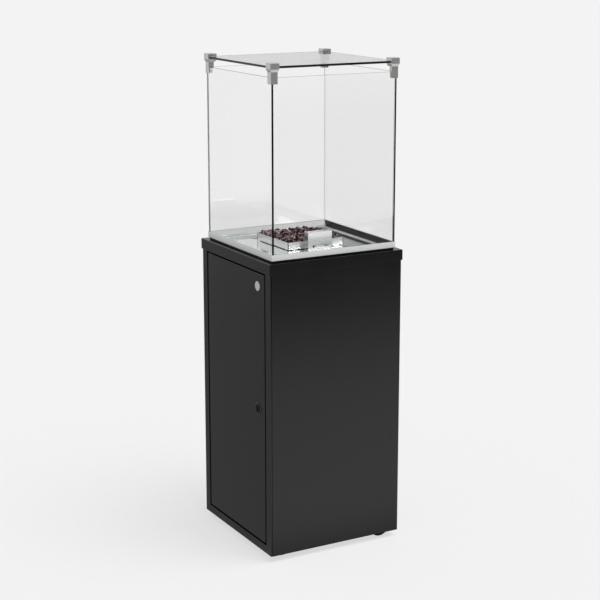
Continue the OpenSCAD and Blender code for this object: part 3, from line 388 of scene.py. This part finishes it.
def lava_stone(name):
    """Porous lava: rough, dark red to purple, with random pale patches of painted highlight and black ones of
    painted shade.
    """
    material, tree, shader, place = start_material(name, {"Roughness": 0.93, "Specular IOR Level": 0.2})
    patch = add(tree, "ShaderNodeTexNoise", {"Scale": 1 / PATCH, "Detail": 4.0, "Roughness": 0.6},
                {"Vector": place})
    # The ramp paints highlight and shade into the colour in random patches, not where light falls.
    tone = add(tree, "ShaderNodeValToRGB", links={"Fac": patch.outputs["Fac"]})
    ramp = tone.color_ramp
    ramp.elements.new(0.5)
    for stop, (position, colour) in zip(ramp.elements, LAVA_TONES_AND_PAINTED_LIGHT):
        stop.position = position
        stop.color = linear(colour)
    pores = add(tree, "ShaderNodeTexVoronoi", {"Scale": 1 / PORE}, {"Vector": place})
    rise = add(tree, "ShaderNodeMapRange", {"From Max": 0.35}, {"Value": pores.outputs["Distance"]})
    bump = add(tree, "ShaderNodeBump", {"Strength": 0.8, "Distance": 0.8 * MM},
               {"Height": rise.outputs["Result"]})
    tree.links.new(tone.outputs["Color"], shader.inputs["Base Color"])
    tree.links.new(bump.outputs["Normal"], shader.inputs["Normal"])
    return material


def stone(shape, centre, size, fineness, draw):
    """Adds one broken stone to the heap."""
    made = bmesh.ops.create_icosphere(shape, subdivisions=fineness, radius=size / 2)["verts"]
    squeeze = Vector([draw.uniform(*SQUEEZE) for _ in range(3)])
    turn = Euler([draw.uniform(0, math.tau) for _ in range(3)]).to_matrix()
    start = Vector([draw.uniform(0, 100) for _ in range(3)])
    for vert in made:
        spot = vert.co / size
        lump, chip, pit = (depth * noise.noise(spot * many + start) for depth, many in (LUMPS, CHIPS, PITS))
        vert.co *= 1 + lump - abs(chip) + pit
        vert.co = turn @ (vert.co * squeeze) + centre


# Sizes in the heap are in mm. A layer has its stones in a row, height from the rim, size and fineness.
LAYERS = ((8, -15, 23, 2), (8, -4, 21, 3))
LAYER_SIZES = (0.85, 1.15)     # least and most of a stone's size, as shares of its layer's
WOBBLE = 3                     # how far a stone lies from its place in the row
STONE_REACH = 0.55             # of a stone from its middle, as a share of its size
LOOSE_STONES, LOOSE_SIZES = 26, (11, 17)     # on top of the layers
LOOSE_LIFT, LOOSE_INSET = (1, 5), 16         # over the rim, and from the heap's edge
LOOSE_FINENESS = 3
BED_INSET = 1.5                # of the heap from the trough's outside


def lava_bed():
    """Two layers of stones in rows that are pushed about, and loose ones on top of them."""
    draw = random.Random(41)
    low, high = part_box("burner_trough")
    inside = high.x - BED_INSET * MM
    rim = high.z
    shape = bmesh.new()
    for rows, depth, size, fineness in LAYERS:
        edge = inside - size * MM * STONE_REACH
        for i in range(rows):
            for j in range(rows):
                wobble = Vector([draw.uniform(-WOBBLE, WOBBLE) * MM for _ in range(3)])
                grid = Vector((2 * i / (rows - 1) - 1, 2 * j / (rows - 1) - 1, 0)) * edge
                spot = grid + wobble
                spot.x = max(-edge, min(edge, spot.x))
                spot.y = max(-edge, min(edge, spot.y))
                stone(shape, spot + Vector((0, 0, rim + depth * MM)),
                      size * draw.uniform(*LAYER_SIZES) * MM, fineness, draw)
    reach = inside - LOOSE_INSET * MM
    for _ in range(LOOSE_STONES):
        spot = Vector((draw.uniform(-reach, reach), draw.uniform(-reach, reach),
                       rim + draw.uniform(*LOOSE_LIFT) * MM))
        stone(shape, spot, draw.uniform(*LOOSE_SIZES) * MM, LOOSE_FINENESS, draw)
    finished_piece(shape, "lava_heap", "cabinet", [lava_stone("porous_lava_rock")],
                   replaces="lava_rocks")


lava_bed()


# Burner and pilot
# Zinc-plated tubes under the stones, a mixing tube with air holes and a brass injector. Under the folded
# cover are the pilot burner, the thermocouple and the ignition electrode, all blackened by the flame.

# Yellow and fairly bright, with faint turning marks.
brass = plated_metal("turned_brass", "#b8964f", 0.28, 0.8 * MM, 0.08)
# Drawn tube, orange red and a little dull.
copper = plated_metal("drawn_copper", "#b4694a", 0.30, 1.2 * MM, 0.06)
dress(zinc, "burner_tube", "mixing_tube", "heat_shield", "pilot_bracket")
dress(brass, "gas_injector")
dress(blackened_steel, "pilot_burner", "thermocouple", "igniter_electrode")
dress(copper, "gas_pipe", "pilot_pipe", "thermocouple_lead")
dress(black_plastic, "ignition_lead")


# Gas controls
# Behind the door a coated panel carries the brass gas valve with its knob and the piezo igniter with its
# red button. The gas hose screws on the inlet under the valve.

# Smooth moulding with a small highlight.
red_plastic = moulded("moulded_red_plastic", "#8f1f1c", 0.3, 0.8 * MM, 0.05)
dress(brass, "gas_valve", "gas_inlet")
dress(zinc, "valve_spindle")
dress(black_plastic, "control_knob", "piezo_body")
dress(red_plastic, "piezo_button")


# Wheels, feet and screws
# Two rubber-tyred wheels at the back and two rubber feet at the front carry the cabinet. Zinc-plated pan
# head screws hold the back panel.

# Dull rubber tyres on slightly glossy hubs.
tyre_rubber = moulded("moulded_tyre_rubber", "#1c1c1c", 0.7, 1.0 * MM, 0.2)
grey_plastic = moulded("moulded_grey_plastic", "#5e5f61", 0.45, 0.7 * MM, 0.1)
dress(tyre_rubber, "left_wheel_tyre", "right_wheel_tyre")
dress(grey_plastic, "left_wheel_hub", "right_wheel_hub")
dress(zinc, "foot_studs", "wheel_axles", "cabinet_screws")


# Studio
# A pale floor and an even pale surround of the same grey, soft light from high on the right behind the
# object, and the camera at the photograph's place. Reflections see a room that is painted apart from the
# light: the coat's has one dark flag and a floor in steps, the steel's behind the panes three dark flags,
# a bright card and a pale floor.

BACKDROP = linear("#f3f3f3")
ROOM_LIGHT = 0.36     # share of the light that comes evenly from all sides
FLOOR_PAINT = 0.94    # how pale the floor is painted
SHADOW_SHARE = 0.28   # how much of the real shadow the open floor keeps
SHADED, OPEN = 0.45, 0.80   # of the cabinet's half width: full shadow within it, open floor beyond it
ROOM = 0.76           # level of the room that the coat mirrors
STEEL_ROOM = 0.95     # and of the one that the steel behind the panes mirrors
BEHIND_PANE = 3.5     # Transmission Depth: a pane's own far face is seen at 2, a thing behind it at 4 or more
# In the room: where it is seen, the angle in degrees within which it is full, where it ends, its level
COAT_FLAGS = ((Vector((0.84, 0.52, 0.12)), 25, 45, 0.02),)         # darkens the top of the right side
STEEL_FLAGS = ((Vector((-0.80, -0.10, 0.58)), 16, 30, 0.02),       # seen in the right retainer
               (Vector((0.84, -0.19, 0.51)), 16, 30, 0.1),         # seen in it by way of the left pane
               (Vector((-0.60, 0.78, 0.19)), 19, 27, 0.15),        # seen in the right of the tray's floor
               (Vector((0.84, 0.50, 0.06)), 15, 36, 3.6))          # card, seen in the cover and the trough
FLOOR_REACH = 16.0    # how far on each side of the object the floor's reflection changes
# Places along X in the floor's reflection and its level there, as the coat and the panes mirror it
FLOOR_STEPS = ((-5.2, 0.7), (-4.5, 0.28), (0.1, 0.28), (0.42, 0.85), (1.6, 0.8), (2.3, 0.6), (3.0, 0.12),
               (4.8, 0.02), (9.0, 0.05), (13.0, 0.5))
STEEL_FLOOR = {"From Min": -4.0, "From Max": 3.0, "To Min": 0.7, "To Max": 1.0}   # the same for the steel
FLOOR_SIZE = 40.0     # from its middle to its edge


def ray_kinds(tree):
    """Three factors: is a ray a reflection, is it behind a pane, does it come straight from the camera."""
    rays = add(tree, "ShaderNodeLightPath")
    bounced = add(tree, "ShaderNodeMath", {1: 0.5}, {0: rays.outputs["Glossy Depth"]},
                  operation="GREATER_THAN")
    behind = add(tree, "ShaderNodeMath", {1: BEHIND_PANE}, {0: rays.outputs["Transmission Depth"]},
                 operation="GREATER_THAN")
    direct = add(tree, "ShaderNodeMath",
                 links={0: rays.outputs["Is Camera Ray"], 1: rays.outputs["Is Transmission Ray"]},
                 operation="MAXIMUM")
    return bounced.outputs["Value"], behind.outputs["Value"], direct.outputs["Value"]


def studio_world():
    """The surround: the backdrop's grey to the camera, even light on the object, the room in reflections."""
    world = bpy.data.worlds.new("pale_surround")
    world.use_nodes = True
    world.cycles.sampling_method = "NONE"   # light samples can't tell a reflection from other light
    scene.world = world
    tree = world.node_tree
    reflected, behind, straight = ray_kinds(tree)
    way = add(tree, "ShaderNodeTexCoord").outputs["Generated"]
    rooms = []
    for flags, level in ((COAT_FLAGS, ROOM), (STEEL_FLAGS, STEEL_ROOM)):
        room = add(tree, "ShaderNodeMix", {"Factor": 0.0, "A": level}).outputs["Result"]
        for heading, full, ends, shade in flags:
            near = add(tree, "ShaderNodeVectorMath", {1: heading.normalized()}, {0: way},
                       operation="DOT_PRODUCT")
            cover = add(tree, "ShaderNodeMapRange", {"From Min": math.cos(math.radians(ends)),
                                                     "From Max": math.cos(math.radians(full))},
                        {"Value": near.outputs["Value"]})
            room = add(tree, "ShaderNodeMix", {"B": shade},
                       {"Factor": cover.outputs["Result"], "A": room}).outputs["Result"]
        rooms.append(room)
    seen_room = add(tree, "ShaderNodeMix", links={"Factor": behind, "A": rooms[0], "B": rooms[1]})
    mirrored = add(tree, "ShaderNodeBackground", {"Color": BACKDROP},
                   {"Strength": seen_room.outputs["Result"]})
    light = add(tree, "ShaderNodeBackground", {"Color": linear("#ffffff"), "Strength": ROOM_LIGHT})
    shown = add(tree, "ShaderNodeBackground", {"Color": BACKDROP, "Strength": 1.0})
    unseen = add(tree, "ShaderNodeMixShader", links={0: straight, 1: light.outputs["Background"],
                                                     2: shown.outputs["Background"]})
    both = add(tree, "ShaderNodeMixShader", links={0: reflected, 1: unseen.outputs["Shader"],
                                                   2: mirrored.outputs["Background"]})
    tree.links.new(both.outputs["Shader"], tree.nodes["World Output"].inputs["Surface"])


def studio_floor():
    """The floor: part painted and part glowing to the camera, and in steps of brightness in reflections."""
    shape = bmesh.new()
    bmesh.ops.create_grid(shape, x_segments=1, y_segments=1, size=FLOOR_SIZE)
    mesh = bpy.data.meshes.new("floor")
    shape.to_mesh(mesh)
    shape.free()
    material = bpy.data.materials.new("pale_floor")
    material.use_nodes = True
    material.cycles.emission_sampling = "NONE"   # for the world's reason
    tree = material.node_tree
    tree.nodes.remove(tree.nodes["Principled BSDF"])
    place = add(tree, "ShaderNodeSeparateXYZ",
                links={"Vector": add(tree, "ShaderNodeTexCoord").outputs["Object"]})
    across = add(tree, "ShaderNodeMapRange", {"From Min": -FLOOR_REACH, "From Max": FLOOR_REACH},
                 {"Value": place.outputs["X"]})
    steps = add(tree, "ShaderNodeValToRGB", links={"Fac": across.outputs["Result"]})
    ramp = steps.color_ramp
    while len(ramp.elements) < len(FLOOR_STEPS):
        ramp.elements.new(0.5)
    for stop, (x, level) in zip(ramp.elements, FLOOR_STEPS):
        stop.position = (x / FLOOR_REACH + 1) / 2
        stop.color = (level, level, level, 1.0)
    reflected, behind, straight = ray_kinds(tree)
    steel_level = add(tree, "ShaderNodeMapRange", STEEL_FLOOR, {"Value": place.outputs["X"]})
    seen_level = add(tree, "ShaderNodeMix", links={"Factor": behind, MIX_A: steps.outputs["Color"],
                                                   MIX_B: steel_level.outputs["Result"]}, data_type="RGBA")
    mirrored = add(tree, "ShaderNodeEmission", links={"Color": seen_level.outputs[MIX_RESULT]})
    glow = add(tree, "ShaderNodeEmission", {"Color": BACKDROP})
    paint = add(tree, "ShaderNodeBsdfDiffuse", {"Color": (FLOOR_PAINT, FLOOR_PAINT, FLOOR_PAINT, 1.0)})
    sides = [add(tree, "ShaderNodeMath", links={0: place.outputs[axis]}, operation="ABSOLUTE")
             for axis in ("X", "Y")]
    off_centre = add(tree, "ShaderNodeMath",
                     links={0: sides[0].outputs["Value"], 1: sides[1].outputs["Value"]}, operation="MAXIMUM")
    half = cad_box[1][0]
    open_floor = add(tree, "ShaderNodeMapRange",
                     {"From Min": SHADED * half, "From Max": OPEN * half, "To Max": 1 - SHADOW_SHARE},
                     {"Value": off_centre.outputs["Value"]})
    share = add(tree, "ShaderNodeMath", links={0: straight, 1: open_floor.outputs["Result"]},
                operation="MULTIPLY")
    shown = add(tree, "ShaderNodeMixShader", links={0: share.outputs["Value"], 1: paint.outputs["BSDF"],
                                                    2: glow.outputs["Emission"]})
    both = add(tree, "ShaderNodeMixShader", links={0: reflected, 1: shown.outputs["Shader"],
                                                   2: mirrored.outputs["Emission"]})
    tree.links.new(both.outputs["Shader"], tree.nodes["Material Output"].inputs["Surface"])
    mesh.materials.append(material)
    floor = bpy.data.objects.new("floor", mesh)
    scene.collection.objects.link(floor)


KEY_FROM = Vector((0.34, 0.26, 0.90)).normalized()
KEY_SPREAD = math.radians(45)
FLOOR_NEEDS = math.pi * (BACKDROP[0] / FLOOR_PAINT - ROOM_LIGHT)   # makes the paint as bright as the backdrop


def key_light():
    """A broad distant lamp, which lights the whole floor alike. Reflections see the room instead of it."""
    lamp = bpy.data.lights.new("key_softbox", "SUN")
    lamp.angle = KEY_SPREAD
    lamp.energy = FLOOR_NEEDS / KEY_FROM.z
    holder = bpy.data.objects.new("key_softbox", lamp)
    holder.rotation_euler = KEY_FROM.to_track_quat("Z", "Y").to_euler()
    holder.visible_glossy = False
    holder.visible_transmission = False
    scene.collection.objects.link(holder)


studio_world()
studio_floor()
key_light()

CAMERA_AT = (3.605, -2.007, 1.672)
CAMERA_HEADING, CAMERA_TILT = 0.5079, 0.2224   # radians: round from -X towards +Y, and down from level
camera_data = bpy.data.cameras.new("camera")
camera_data.lens = 91.0
camera_data.sensor_width = 36.0
camera_data.shift_y = -0.04
camera = bpy.data.objects.new("camera", camera_data)
camera.location = CAMERA_AT
level_reach = math.cos(CAMERA_TILT)
forward = Vector((-math.cos(CAMERA_HEADING) * level_reach, math.sin(CAMERA_HEADING) * level_reach,
                  -math.sin(CAMERA_TILT)))
camera.rotation_euler = forward.to_track_quat("-Z", "Y").to_euler()
scene.collection.objects.link(camera)
scene.camera = camera
scene.view_settings.view_transform = "Standard"
